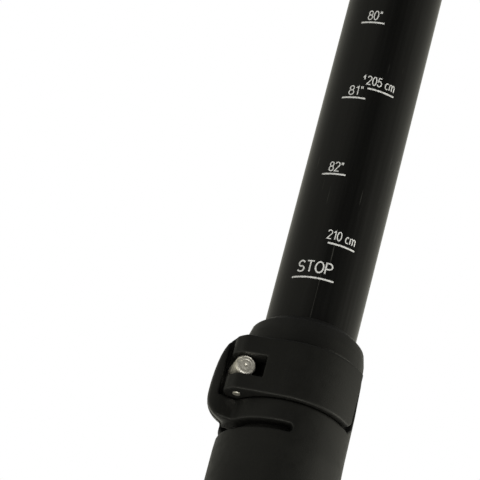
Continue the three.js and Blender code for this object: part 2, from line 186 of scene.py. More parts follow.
def blend_min(a, b, k):
    """Union of two fields with a fillet about k wide where they meet."""
    h = np.clip(1 - np.abs(a - b) / k, 0, 1)
    return np.minimum(a, b) - h * h * k / 4


def blend_max(a, b, k):
    """Overlap of two fields with an edge rounded over about k."""
    return -blend_min(-a, -b, k)


def cut(a, b, k):
    """The first field without the second."""
    return blend_max(a, -b, k)


def polygon(x, y, points):
    """Signed distance to a closed polygon, negative inside."""
    best = np.full(x.shape, 1e9)
    inside = np.zeros(x.shape, bool)
    for (ax, ay), (bx, by) in zip(points, points[1:] + points[:1]):
        ex, ey = bx - ax, by - ay
        wx, wy = x - ax, y - ay
        t = np.clip((wx * ex + wy * ey) / (ex * ex + ey * ey), 0, 1)
        best = np.minimum(best, (wx - ex * t) ** 2 + (wy - ey * t) ** 2)
        if ay != by:
            crosses = (ay > y) != (by > y)
            inside ^= crosses & (x < ax + (y - ay) * ex / ey)
    return np.where(inside, -1, 1) * np.sqrt(best)


def slab(value, low, high):
    """Distance to the layer between two values."""
    return np.maximum(low - value, value - high)


def curve(a, b, c, steps=6):
    """Points of a quadratic curve from a to c, without a."""
    ts = [(i + 1) / steps for i in range(steps)]
    return [
        tuple(p * (1 - t) ** 2 + q * 2 * t * (1 - t) + r * t * t for p, q, r in zip(a, b, c))
        for t in ts
    ]


def field_surface(field, low, high, step):
    """Vertices and quads of the surface where a field is zero, with its vertices drawn onto it."""
    axes = [np.arange(a, b + step, step) for a, b in zip(low, high)]
    grid = np.meshgrid(*axes, indexing="ij")
    values = field(*grid)
    solid = values < 0
    shape = values.shape
    total = np.zeros([n - 1 for n in shape] + [3])
    count = np.zeros([n - 1 for n in shape])
    quads = []
    for axis in range(3):
        first = [slice(None)] * 3
        second = [slice(None)] * 3
        first[axis], second[axis] = slice(0, -1), slice(1, None)
        a, b = values[tuple(first)], values[tuple(second)]
        crossing = (a < 0) != (b < 0)
        where = np.argwhere(crossing)
        share = (a[crossing] / (a[crossing] - b[crossing]))[:, None]
        point = where.astype(float)
        point[:, axis] += share[:, 0]
        u, v = (axis + 1) % 3, (axis + 2) % 3
        cells = []
        for du, dv in ((0, 0), (-1, 0), (-1, -1), (0, -1)):
            cell = where.copy()
            cell[:, u] += du
            cell[:, v] += dv
            cells.append(cell)
            np.add.at(total, tuple(cell.T), point)
            np.add.at(count, tuple(cell.T), 1)
        forward = solid[tuple(first)][crossing]
        quads.append((cells, forward))
    used = count > 0
    number = np.full(used.shape, -1)
    number[used] = np.arange(used.sum())
    verts = np.array(low) + total[used] / count[used][:, None] * step
    faces = []
    for cells, forward in quads:
        ids = np.stack([number[tuple(c.T)] for c in cells], 1)
        faces.append(np.where(forward[:, None], ids, ids[:, ::-1]))
    faces = np.concatenate(faces)
    verts = drawn_on(field, verts, step)
    return verts, faces


def drawn_on(field, verts, step):
    """Vertices moved along the field's slope onto its zero surface."""
    e = step * 0.2
    for _ in range(3):
        value = field(*verts.T)
        slope = np.stack(
            [field(*(verts + d).T) - field(*(verts - d).T) for d in np.eye(3) * e], 1
        ) / (2 * e)
        size = np.maximum((slope**2).sum(1), 0.05)
        move = -slope * (value / size)[:, None]
        verts = verts + np.clip(move, -step * 0.5, step * 0.5)
    return verts


def from_clamp(verts):
    """Clamp millimetres to the row frame."""
    return [(x * MM, y * MM, z * MM + RIM) for x, y, z in verts]


# --- clamp shapes ---
# Heights are millimetres from the rim, and turns are degrees from the front (-Y), positive towards +X. The
# lug frame, turned by LUG_TURN, has a radial axis out through the lugs and an axis along the clamp rod,
# whose positive side is the front.

COLLAR_R = 18.1
COLLAR_HEIGHT = (RIM - COLLAR_END) / MM
SOCKET_DEPTH, SOCKET_R = 37.7, 14.6
LINER_R = 14.1
RIM_LIP, RIM_BORE_R = 1.5, 13.25
SLOT_TOP, SLOT_LOW = -34.1, -36.7
SLOT_HEIGHT = SLOT_TOP - SLOT_LOW
SLOT_MIDDLE = (SLOT_TOP + SLOT_LOW) / 2
SLOT_START, SLOT_END = -163, 1.6
POCKET_START, POCKET_END = -58, 82
POCKET_CORNER, CORNER_SLOPE, CORNER_RISE = 68, 0.22, 3
POCKET_FLOOR_R = 15.4
POCKET_GAP, TOP_GAP = 0.35, 0.6
LEVER_R, LEVER_BORE = 19.0, 15.8
LEVER_TOP, LEVER_LOW = -10.2, -27.4
LEVER_START, LEVER_END = -20, 64
FORK_ROOT = -14
FORK_LOW, FORK_HIGH = -22.7, -16.3
FORK_DEPTH = 5.8
LUG_TURN = math.radians(192)
LUG_BACK, LUG_FRONT = -7.5, 3.9
LUG_LEAN = 0.35
FLANK, FLANK_SLOPE = 23.9, 0.213
LIP_FRONT, LIP_INSIDE = 6.5, 22.0
SLIT_LOW, SLIT_HIGH = -2.2, -0.2
LUG_ROOT = 8
ROD_OFFSET, ROD_HEIGHT, ROD_R = 17.7, -19.4, 2.9
ROD_FIT = 0.2
ROD_SHOULDER, ROD_TAIL, ROD_TAIL_R = -4.4, -8.2, 2
PIN_AT, PIN_R, PIN_HOLE_R = 9.16, 1.12, 1.15
CAM_R, CAM_OFFSET = 3.6, 0.5
COUNTERBORE_R, COUNTERBORE_FLOOR = 4.1, -5
COLLAR_STEP, LEVER_STEP = 0.46, 0.28  # cells of the two distance fields

# From a shape turned about its own Z to the clamp rod's axis, in the row frame.
TO_ROD = (
    Matrix.Rotation(LUG_TURN, 4, "Z")
    @ Matrix.Translation((ROD_OFFSET * MM, 0, RIM + ROD_HEIGHT * MM))
    @ Matrix.Rotation(-math.pi / 2, 4, "X")
)


def lug_axes(x, y):
    """Radial and rod-wise coordinates of the lug frame."""
    c, s = math.cos(LUG_TURN), math.sin(LUG_TURN)
    return x * c + y * s, -x * s + y * c


def clamp_point(radial, along):
    """A point of the lug frame in X and Y."""
    c, s = math.cos(LUG_TURN), math.sin(LUG_TURN)
    return radial * c - along * s, radial * s + along * c


def turn_from_front(x, y):
    return np.degrees(np.arctan2(x, -y))


def sector_field(x, y, start, end):
    """Distance to a wedge between two turns less than half a turn apart, along its two side planes."""
    a, b = math.radians(start), math.radians(end)
    to_start = -(x * math.cos(a) + y * math.sin(a))
    to_end = x * math.cos(b) + y * math.sin(b)
    return np.maximum(to_start, to_end)


def lug_field(x, y, z):
    """Both lugs in one block; the factors below 1 keep its sloping sides close to true distances."""
    radial, along = lug_axes(x, y)
    flank = (radial - FLANK - FLANK_SLOPE * along) * 0.978
    plan = blend_max(blend_max(flank, along - LIP_FRONT, 5.0), LUG_BACK - along, 4.5)
    rise = LUG_LEAN * (y + 8)
    side = [(-LUG_ROOT, -7.6), (-17.6, -7.6), (-18.2, -8.2)]
    side += curve(side[-1], (-21.6, -10.2), (-22.6, -17.5))
    side += curve(side[-1], (-23.6, -25), (-23, -28.2))
    side += curve(side[-1], (-22.2, -32.4), (-17.6, SLOT_TOP))
    side += [(-LUG_ROOT, SLOT_TOP)]
    outline = polygon(x, z - rise, side) * 0.95
    floor = SLOT_TOP - z
    return blend_max(blend_max(plan, outline, 0.8), floor, 0.5)


def collar_field(x, y, z):
    """The collar with its lugs, less the lever's pocket, the slot, the slit and the bores."""
    r = np.hypot(x, y)
    radial, along = lug_axes(x, y)
    outside = [(0, 0), (13.9, 0), (16.1, -2.0), (16.8, -5), (17.3, -11), (17.7, -20)]
    outside += [(COLLAR_R - 0.2, SLOT_TOP), (COLLAR_R, -40), (COLLAR_R, 1 - COLLAR_HEIGHT)]
    outside += [(COLLAR_R - 0.7, -COLLAR_HEIGHT), (0, -COLLAR_HEIGHT)]
    body = polygon(r, z, outside)
    solid = blend_min(body, lug_field(x, y, z), 1.0)
    bore = np.where(z > -SOCKET_DEPTH, r - LINER_R, r - SOCKET_R)
    bore = np.where(z > -RIM_LIP, r - RIM_BORE_R, bore)
    wedge = sector_field(x, y, POCKET_START, POCKET_END)
    fork = np.maximum(LUG_FRONT - along, radial - LIP_INSIDE)
    fork = np.maximum(fork, LUG_ROOT - radial)
    space = np.minimum(wedge, fork)
    lift = np.clip((turn_from_front(x, y) - POCKET_CORNER) * CORNER_SLOPE, 0, CORNER_RISE)
    heights = slab(z, LEVER_LOW - POCKET_GAP + lift, LEVER_TOP + TOP_GAP)
    space = blend_max(space, heights, 0.8)
    space = blend_max(space, POCKET_FLOOR_R - r, 0.5)
    solid = cut(solid, space, 0.35)
    solid = cut(solid, slot_field(x, y, z), 0.45)
    slit = slab(along, SLIT_LOW, SLIT_HIGH)
    slit = np.maximum(np.maximum(slit, LUG_ROOT - radial), SLOT_TOP - 0.4 - z)
    solid = cut(solid, slit, 0.6)
    across = np.hypot(radial - ROD_OFFSET, z - ROD_HEIGHT)
    solid = cut(solid, np.maximum(across - ROD_R - ROD_FIT, 9 - radial), 0.4)
    nut = np.maximum(across - COUNTERBORE_R, along - COUNTERBORE_FLOOR)
    solid = cut(solid, nut, 0.5)
    return cut(solid, bore, 0.5)


def slot_field(x, y, z):
    """The round-ended slot below the band, open through the wall."""
    turn = turn_from_front(x, y)
    middle = (SLOT_START + SLOT_END) / 2
    half = (SLOT_END - SLOT_START) / 2
    past = (np.abs((turn - middle + 180) % 360 - 180) - half) * math.radians(COLLAR_R)
    reach = np.hypot(np.maximum(past, 0), z - SLOT_MIDDLE) - SLOT_HEIGHT / 2
    return np.maximum(reach, 12 - np.hypot(x, y))


def tapered(x, y, ax, ay, ar, bx, by, br):
    """Distance to a capsule whose end circles differ."""
    length = math.hypot(bx - ax, by - ay)
    ux, uy = (bx - ax) / length, (by - ay) / length
    slope = (ar - br) / length
    rise = math.sqrt(max(1 - slope * slope, 1e-9))
    along = (x - ax) * ux + (y - ay) * uy
    off = np.abs(-(x - ax) * uy + (y - ay) * ux)
    k = -slope * off + rise * along
    low = np.hypot(along, off) - ar
    high = np.hypot(along - length, off) - br
    side = rise * off + slope * along - ar
    return np.where(k < 0, low, np.where(k > rise * length, high, side))


def lever_plan(x, y):
    """Plan of the fork: cam, nose and root circles with straight flanks between them."""
    pin = clamp_point(ROD_OFFSET, PIN_AT)
    cam = (*clamp_point(ROD_OFFSET, PIN_AT - CAM_OFFSET), CAM_R)
    nose = (pin[0] + 0.2, pin[1] - 1.5, 2.5)
    half = (LEVER_R - LEVER_BORE) / 2
    turn = math.radians(FORK_ROOT)
    root = ((LEVER_R - half) * math.sin(turn), -(LEVER_R - half) * math.cos(turn), half)
    circles = [cam, nose, root]
    field = polygon(x, y, [c[:2] for c in circles])
    for (ax, ay, ar), (bx, by, br) in zip(circles, circles[1:] + circles[:1]):
        field = np.minimum(field, tapered(x, y, ax, ay, ar, bx, by, br))
    return field


def lever_field(x, y, z):
    """The wrap-around lever: a curved arm with a slanted end, and the fork that holds the rod and pin."""
    r = np.hypot(x, y)
    arm = np.maximum(sector_field(x, y, LEVER_START, LEVER_END), r - LEVER_R)
    plan = np.minimum(arm, lever_plan(x, y))
    fork = np.clip((-4 - x) / 8, 0, 1)
    fork = fork * fork * (3 - 2 * fork)
    body = blend_max(plan, z - (LEVER_TOP - 0.5 * fork), 0.7)
    body = blend_max(body, LEVER_LOW - z, 0.7)
    tip = (turn_from_front(x, y) - LEVER_END) * 0.24 + (LEVER_LOW - z) * 0.7 + 1.0
    body = blend_max(body, tip, 0.8)
    body = blend_max(body, LEVER_BORE - r, 0.8)
    pin_x, pin_y = clamp_point(ROD_OFFSET, PIN_AT)
    gap = np.maximum(slab(z, FORK_LOW, FORK_HIGH), slab(x, pin_x - 10, pin_x + FORK_DEPTH))
    body = cut(body, gap, 0.5)
    return cut(body, np.hypot(x - pin_x, y - pin_y) - PIN_HOLE_R, 0.25)


# --- materials ---


def node(tree, kind, **values):
    """A new shader node; each value is one of its inputs or, failing that, one of its properties."""
    made = tree.nodes.new(kind)
    for key, value in values.items():
        if key in made.inputs:
            made.inputs[key].default_value = value
        else:
            setattr(made, key, value)
    return made


def new_material(name):
    material = bpy.data.materials.new(name)
    material.use_nodes = True
    tree = material.node_tree
    return material, tree, tree.nodes["Principled BSDF"]


def ramp(tree, source, stops):
    """A colour ramp over a socket; a stop is its place and a grey level or a colour."""
    made = tree.nodes.new("ShaderNodeValToRGB")
    elements = made.color_ramp.elements
    while len(elements) < len(stops):
        elements.new(0.5)
    for element, (place, value) in zip(elements, stops):
        element.position = place
        element.color = (*value, 1) if isinstance(value, tuple) else (value,) * 3 + (1,)
    tree.links.new(source, made.inputs["Fac"])
    return made.outputs["Color"]


def mixed(tree, factor, first, second):
    """A colour mix of a socket and a constant."""
    made = node(tree, "ShaderNodeMix", data_type="RGBA")
    tree.links.new(factor, made.inputs[0])
    tree.links.new(first, made.inputs[6])
    made.inputs[7].default_value = second
    return made.outputs[2]


def noise(tree, scale, detail, stretch=(1, 1, 1)):
    """Noise in the piece's own metres, stretched along its axes."""
    place = node(tree, "ShaderNodeTexCoord")
    mapping = node(tree, "ShaderNodeMapping", Scale=stretch)
    made = node(tree, "ShaderNodeTexNoise", Scale=scale, Detail=detail)
    tree.links.new(place.outputs["Object"], mapping.inputs["Vector"])
    tree.links.new(mapping.outputs["Vector"], made.inputs["Vector"])
    return made.outputs["Fac"]


def bump(tree, shader, height, strength, distance):
    made = node(tree, "ShaderNodeBump", Strength=strength, Distance=distance)
    tree.links.new(height, made.inputs["Height"])
    tree.links.new(made.outputs["Normal"], shader.inputs["Normal"])


def tube_material():
    """Satin black anodised tube with fine scratches and rubbed streaks along it."""
    material, tree, shader = new_material("tube_black")
    shader.inputs["Specular IOR Level"].default_value = 0.45
    scratch = noise(tree, 900, 6, (1, 1, 0.02))
    cloud = noise(tree, 60, 4, (1, 1, 0.25))
    color = ramp(tree, scratch, [(0.35, (0.004, 0.004, 0.0042)), (0.75, (0.008, 0.008, 0.0084))])
    deep = ramp(tree, noise(tree, 1500, 2, (1, 1, 0.03)), [(0.72, 0.0), (0.76, 1.0)])
    tree.links.new(mixed(tree, deep, color, (0.07, 0.07, 0.068, 1)), shader.inputs["Base Color"])
    rough = node(tree, "ShaderNodeMath", operation="ADD")
    tree.links.new(ramp(tree, scratch, [(0.3, 0.2), (0.7, 0.27)]), rough.inputs[0])
    tree.links.new(ramp(tree, cloud, [(0.3, 0.06), (0.7, 0.14)]), rough.inputs[1])
    tree.links.new(rough.outputs[0], shader.inputs["Roughness"])
    bump(tree, shader, scratch, 0.12, 0.0001)
    return material


def nylon_material(name, dark, light, roughness, grain):
    """Moulded black plastic with a fine spark-eroded grain."""
    material, tree, shader = new_material(name)
    shader.inputs["Specular IOR Level"].default_value = 0.4
    fine = noise(tree, 3200, 2)
    broad = noise(tree, 90, 5)
    tree.links.new(ramp(tree, broad, [(0.3, dark), (0.7, light)]), shader.inputs["Base Color"])
    low, high = roughness
    patches = noise(tree, 420, 4)
    tree.links.new(ramp(tree, patches, [(0.3, low), (0.7, high)]), shader.inputs["Roughness"])
    bump(tree, shader, fine, grain, 0.00012)
    return material


def steel_material():
    """Turned stainless steel, warm, with fine rings and small marks."""
    material, tree, shader = new_material("steel_bright")
    shader.inputs["Metallic"].default_value = 1.0
    fine = noise(tree, 1500, 5)
    color = ramp(tree, fine, [(0.3, (0.75, 0.72, 0.64)), (0.7, (0.92, 0.89, 0.8))])
    tree.links.new(color, shader.inputs["Base Color"])
    tree.links.new(ramp(tree, fine, [(0.3, 0.42), (0.7, 0.52)]), shader.inputs["Roughness"])
    bump(tree, shader, fine, 0.3, 0.00008)
    return material


def print_material():
    """Light grey pad print, a little thin in places."""
    material, tree, shader = new_material("scale_print")
    wear = noise(tree, 1400, 4)
    color = ramp(tree, wear, [(0.3, (0.45, 0.45, 0.44)), (0.5, (0.75, 0.75, 0.74))])
    tree.links.new(color, shader.inputs["Base Color"])
    tree.links.new(ramp(tree, wear, [(0.3, 0.5), (0.7, 0.65)]), shader.inputs["Roughness"])
    bump(tree, shader, wear, 0.1, 0.00005)
    return material


def soft_material(name, dark, light, roughness, scale, depth):
    """Foam, rubber or natural nylon: a cellular or mottled surface."""
    material, tree, shader = new_material(name)
    cells = noise(tree, scale, 3)
    tree.links.new(ramp(tree, cells, [(0.35, dark), (0.65, light)]), shader.inputs["Base Color"])
    rough = ramp(tree, cells, [(0.3, roughness), (0.7, roughness + 0.1)])
    tree.links.new(rough, shader.inputs["Roughness"])
    bump(tree, shader, cells, 0.4, depth)
    return material


tube_black = tube_material()
clamp_black = nylon_material(
    "clamp_black", (0.008, 0.008, 0.0077), (0.013, 0.013, 0.0125), (0.46, 0.58), 0.25,
)
grip_black = nylon_material(
    "grip_black", (0.008, 0.008, 0.0082), (0.012, 0.012, 0.0122), (0.26, 0.36), 0.12,
)
blade_black = nylon_material(
    "blade_black", (0.022, 0.022, 0.023), (0.032, 0.032, 0.033), (0.34, 0.46), 0.3,
)
steel_bright = steel_material()
scale_print = print_material()
glide_nylon = soft_material(
    "glide_nylon", (0.5, 0.48, 0.43), (0.6, 0.58, 0.53), 0.45, 300, 0.0001,
)
seal_rubber = soft_material(
    "seal_rubber", (0.012, 0.012, 0.012), (0.02, 0.02, 0.02), 0.6, 500, 0.0001,
)
float_foam = soft_material(
    "float_foam", (0.62, 0.6, 0.52), (0.78, 0.75, 0.66), 0.85, 900, 0.0004,
)


# --- tubes and grip ---


def tube_profile(outer, wall, low, high):
    inner = outer - wall
    return [(outer, low), (outer, high), (inner, high), (inner, low)]


add_piece(
    "graduated_tube",
    *lathe(tube_profile(TUBE_R, INNER_WALL, TUBE_END, SEAM), 128),
    "upper", "tube_black", tube_black, ["upper_shaft"],
)
add_piece(
    "outer_tube",
    *lathe(tube_profile(OUTER_R, OUTER_WALL, OUTER_LOW, OUTER_HIGH), 128),
    "root", "tube_black", tube_black, ["lower_shaft"],
)

GRIP_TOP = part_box("palm_grip")[1].z
GRIP_HALF_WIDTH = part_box("palm_grip")[1].x
GRIP_HALF_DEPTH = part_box("palm_grip")[1].y
NECK_R = 11.4 * MM
NECK_RISE = 10 * MM
WIDEST_RISE = 48 * MM
CROWN_POWER = 2.35
GRIP_PLUG = 45 * MM


def grip_section(rise, height):
    """Half width, half depth and roundness of the grip at a height above the seam."""
    if rise < NECK_RISE:
        share = math.cos(rise / NECK_RISE * math.pi) * 0.5 + 0.5
        radius = NECK_R + (TUBE_R - 0.1 * MM - NECK_R) * share
        return radius, radius, 2
    if rise < WIDEST_RISE:
        share = (rise - NECK_RISE) / (WIDEST_RISE - NECK_RISE)
        swell = math.sin(share * math.pi / 2) ** 1.45
        width = NECK_R + (GRIP_HALF_WIDTH - NECK_R) * swell
        depth = NECK_R + (GRIP_HALF_DEPTH - NECK_R) * swell
        return width, depth, 2 - 0.25 * math.sin(swell * math.pi)
    share = min((rise - WIDEST_RISE) / (height - WIDEST_RISE), 1)
    crown = (1 - share**CROWN_POWER) ** (1 / CROWN_POWER)
    return GRIP_HALF_WIDTH * crown, GRIP_HALF_DEPTH * crown, 2


def grip_mesh(rings=90):
    """The plug in the tube, a shoulder on the tube's end, and the palm grip's head."""
    base = SEAM + 0.3 * MM
    height = GRIP_TOP - base
    plug_r = TUBE_R - 1.75 * MM
    plug = [
        (plug_r - 1 * MM, SEAM - GRIP_PLUG),
        (plug_r, SEAM - GRIP_PLUG + 1 * MM),
        (plug_r, base),
        (TUBE_R - 0.4 * MM, base),
    ]
    rows = [oval(r, r, 2, z) for r, z in plug]
    for i in range(rings + 1):
        rise = height * min(math.sin(i / rings * math.pi / 2) ** 0.9, 0.99999)
        rows.append(oval(*grip_section(rise, height), base + rise))
    return ring_skin(rows)


add_piece("palm_grip_body", *grip_mesh(), "upper", "grip_black", grip_black, ["palm_grip"])


# --- clamp pieces ---

COLLAR_SPACE = (-27, -21.5, -COLLAR_HEIGHT - 1), (19.5, 19.5, 1)
LEVER_SPACE = (-21.5, -21, -29), (20, -6, -9)
collar_verts, collar_faces = field_surface(collar_field, *COLLAR_SPACE, COLLAR_STEP)
add_piece(
    "collar_moulding", from_clamp(collar_verts), collar_faces,
    "root", "clamp_black", clamp_black, ["clamp_collar"],
)
lever_verts, lever_faces = field_surface(lever_field, *LEVER_SPACE, LEVER_STEP)
add_piece(
    "lever_moulding", from_clamp(lever_verts), lever_faces,
    "lever", "clamp_black", clamp_black, ["clamp_lever"],
)


def rod_mesh():
    """The rod with its narrow tail, and a turned face with a centre pit and a fine groove."""
    end = PIN_AT + 2.6
    face = [(0, end - 0.35), (0.35, end - 0.02), (0.8, end), (1.6, end - 0.04), (1.7, end)]
    face += [(2.35, end), (2.45, end - 0.05), (2.5, end), (ROD_R - 0.3, end), (ROD_R, end - 0.35)]
    outline = [(0, ROD_TAIL), (ROD_TAIL_R, ROD_TAIL), (ROD_TAIL_R, ROD_SHOULDER), (ROD_R, ROD_SHOULDER)]
    outline += face[::-1]
    verts, faces = lathe([(r * MM, z * MM) for r, z in outline], 96, 0.04 * MM)
    return placed(verts, TO_ROD), faces


add_piece("rod_turned", *rod_mesh(), "bolt", "steel_bright", steel_bright, ["clamp_rod"])

pin_low, pin_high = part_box("hinge_pin")[0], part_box("hinge_pin")[1]
pin_middle = (pin_low + pin_high) / 2
pin_r = PIN_R * MM
pin_outline = [(0, pin_low.z), (pin_r, pin_low.z), (pin_r, pin_high.z), (0, pin_high.z)]
pin_verts, pin_faces = lathe(pin_outline, 48, 0.2 * MM)
pin_verts = placed(pin_verts, Matrix.Translation((pin_middle.x, pin_middle.y, 0)))
add_piece("pin_turned", pin_verts, pin_faces, "lever", "steel_bright", steel_bright, ["hinge_pin"])


# --- blade ---

BLADE_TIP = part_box("blade")[0].z
SOCKET_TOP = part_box("blade")[1].z
BLADE_LENGTH = 455 * MM
BLADE_HALF_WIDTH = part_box("blade")[1].x
BLADE_RAKE = math.radians(10)
BLADE_DISH = 9 * MM
BLADE_EDGE = 1 * MM
BLADE_SOCKET_R = 17.3 * MM
BLADE_FIT = 0.15 * MM


def blade_section(along):
    """Half width, half thickness and roundness of the blade from its tip (0) to its throat (1)."""
    spread = max(math.sin(math.pi * along**0.716), 0) ** (0.6 + 0.6 * along)
    width = BLADE_EDGE + (BLADE_HALF_WIDTH - BLADE_EDGE) * spread + 15 * MM * along**3
    thickness = (1.6 + 3 * math.sin(math.pi * along * 0.5) + 11 * along**5) * MM
    return width, thickness, 1.25 + 0.75 * along**4


def blade_mesh(rings=120):
    """From the tip up, swelling into the round socket, over its rim and down its bore."""
    throat = BLADE_TIP + BLADE_LENGTH * math.cos(BLADE_RAKE)
    lean = Matrix.Translation((0, 0, throat)) @ Matrix.Rotation(-BLADE_RAKE, 4, "X")
    rows = []
    for i in range(rings + 1):
        along = 0.0008 + 0.9992 * (0.5 - 0.5 * math.cos(i / rings * math.pi))
        dish = Vector((0, BLADE_DISH * math.sin(math.pi * along) ** 2, 0))
        flat = [lean @ (p + dish) for p in oval(*blade_section(along), BLADE_LENGTH * (along - 1))]
        merge = min(max((along - 0.9) / 0.1, 0), 1)
        merge = merge * merge * (3 - 2 * merge)
        full = oval(BLADE_SOCKET_R, BLADE_SOCKET_R, 2, 0)
        rows.append([p.lerp(Vector((q.x, q.y, p.z)), merge) for p, q in zip(flat, full)])
    bore = OUTER_R + BLADE_FIT
    outline = [(BLADE_SOCKET_R, throat + rise * MM) for rise in (8, 20, 40)]
    outline += [
        (BLADE_SOCKET_R - inset * MM, SOCKET_TOP - drop * MM)
        for inset, drop in ((0, 3), (0.25, 1.6), (0.8, 0.5), (1.4, 0))
    ]
    outline += [(bore + 0.2 * MM, SOCKET_TOP), (bore, SOCKET_TOP - 0.3 * MM)]
    outline += [(bore, OUTER_LOW - 0.3 * MM)]
    rows += [oval(r, r, 2, z) for r, z in outline]
    return ring_skin(rows)


add_piece("blade_moulding", *blade_mesh(), "root", "blade_black", blade_black, ["blade"])


# --- rivets and washer ---

RIVET_TURN, RIVET_DROP = 38, 8 * MM
WASHER_R, WASHER_BORE = 3.7, 2.1
WASHER_LOW, WASHER_HIGH = -5.85, -5.1


def small_part(name, outline, matrix, body, slot, material):
    """A CAD node's round part, turned finely: the outline is [radius, height] in millimetres."""
    verts, faces = lathe([(r * MM, z * MM) for r, z in outline], 64, 0.12 * MM)
    add_piece(name + "_turned", placed(verts, matrix), faces, body, slot, material, [name])


def outward(turn, height):
    """From a shape turned about its own Z to a radial axis, in degrees from the front."""
    around = Matrix.Rotation(math.radians(turn), 4, "Z")
    return Matrix.Translation((0, 0, height)) @ around @ Matrix.Rotation(math.pi / 2, 4, "X")


tube_mm = TUBE_R / MM
rivet = [(0, 6.5), (1.6, 6.5), (1.6, tube_mm + 0.05), (2.7, tube_mm + 0.05)]
rivet += [(2.55, tube_mm + 0.4), (1.9, tube_mm + 0.8), (1.0, tube_mm + 0.97), (0, tube_mm + 1)]
for name, turn in (("grip_rivet_front", RIVET_TURN), ("grip_rivet_rear", RIVET_TURN + 180)):
    small_part(name, rivet, outward(turn, SEAM - RIVET_DROP), "upper", "tube_black", tube_black)

reach = BLADE_SOCKET_R / MM + 0.1
head = [(2, reach), (3.4, reach), (3.2, reach + 0.4), (2.4, reach + 0.9)]
head += [(1.2, reach + 1.15), (0, reach + 1.2)]
cross = [(r, -z) for r, z in head[::-1]] + head
rivet_height = (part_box("blade_rivet")[0].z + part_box("blade_rivet")[1].z) / 2
small_part("blade_rivet", cross, outward(0, rivet_height), "root", "steel_bright", steel_bright)

washer = [(WASHER_BORE, WASHER_LOW), (WASHER_R, WASHER_LOW)]
washer += [(WASHER_R, WASHER_HIGH), (WASHER_BORE, WASHER_HIGH)]
small_part("rod_washer", washer, TO_ROD, "root", "steel_bright", steel_bright)


# --- printed scale ---

INCH = 25.4 * MM
PRINT_R = 13.03 * MM  # radius of the print's outer face
PRINT_DEPTH = 0.08 * MM
LINE_THICKNESS = 0.5 * MM
LETTER_GAP = 0.17  # in the unit of letter_strokes, where a letter is 1 high
STOP_RISE, FIRST_INCH_RISE, FIRST_CM_RISE = 12.5 * MM, 45.9 * MM, 24.0 * MM
CM_STEP = 2 * INCH


def wrapped(verts, height):
    """A flat print in X and Y laid round the tube: X runs round it, Y up."""
    out = []
    for x, y, z in verts:
        turn = x / TUBE_R
        radius = PRINT_R + z
        out.append((radius * math.sin(turn), -radius * math.cos(turn), height + y))
    return out


def arc(x, y, across, up, start, end):
    """Points of part of an ellipse, in degrees counted anticlockwise from +X."""
    steps = max(4, round(abs(end - start) / 15))
    turns = [math.radians(start + (end - start) * k / steps) for k in range(steps + 1)]
    return [(x + across * math.cos(t), y + up * math.sin(t)) for t in turns]


def letter_strokes():
    """Centre lines of the narrow print letters, 1 high, and each letter's width."""
    ring = arc(0.24, 0.5, 0.24, 0.5, 90, 450)
    six = [arc(0.24, 0.29, 0.24, 0.29, 90, 450), arc(0.3, 0.42, 0.3, 0.58, 70, 190)]
    nine = [[(0.48 - x, 1 - y) for x, y in stroke] for stroke in six]
    return {
        "0": (0.48, [ring]),
        "1": (0.3, [[(0.02, 0.78), (0.24, 1), (0.24, 0)]]),
        "2": (0.48, [arc(0.24, 0.74, 0.23, 0.26, 165, -25) + [(0, 0), (0.48, 0)]]),
        "3": (0.48, [arc(0.23, 0.75, 0.21, 0.25, 160, -90), arc(0.22, 0.26, 0.25, 0.26, 90, -160)]),
        "4": (0.52, [[(0.38, 0), (0.38, 1), (0, 0.3), (0.52, 0.3)]]),
        "5": (0.48, [
            [(0.44, 1), (0.09, 1), (0.04, 0.5)] + arc(0.23, 0.32, 0.25, 0.32, 130, -160),
        ]),
        "6": (0.48, six),
        "7": (0.48, [[(0, 1), (0.48, 1), (0.3, 0.6), (0.17, 0)]]),
        "8": (0.48, [arc(0.24, 0.76, 0.2, 0.24, 0, 360), arc(0.24, 0.27, 0.24, 0.27, 0, 360)]),
        "9": (0.48, nine),
        '"': (0.2, [[(0.04, 1), (0.04, 0.74)], [(0.18, 1), (0.18, 0.74)]]),
        "c": (0.38, [arc(0.2, 0.35, 0.2, 0.35, 50, 310)]),
        "m": (0.62, [
            [(0, 0), (0, 0.7)],
            arc(0.155, 0.52, 0.155, 0.18, 180, 0) + [(0.31, 0)],
            arc(0.465, 0.52, 0.155, 0.18, 180, 0) + [(0.62, 0)],
        ]),
        "S": (0.5, [arc(0.25, 0.74, 0.23, 0.26, 25, 270) + arc(0.24, 0.25, 0.25, 0.25, 75, -160)]),
        "T": (0.52, [[(0, 1), (0.52, 1)], [(0.26, 1), (0.26, 0)]]),
        "O": (0.58, [arc(0.29, 0.5, 0.29, 0.5, 90, 450)]),
        "P": (0.48, [
            [(0, 0), (0, 1), (0.22, 1)] + arc(0.22, 0.73, 0.25, 0.27, 90, -90) + [(0, 0.46)],
        ]),
        " ": (0.2, []),
    }


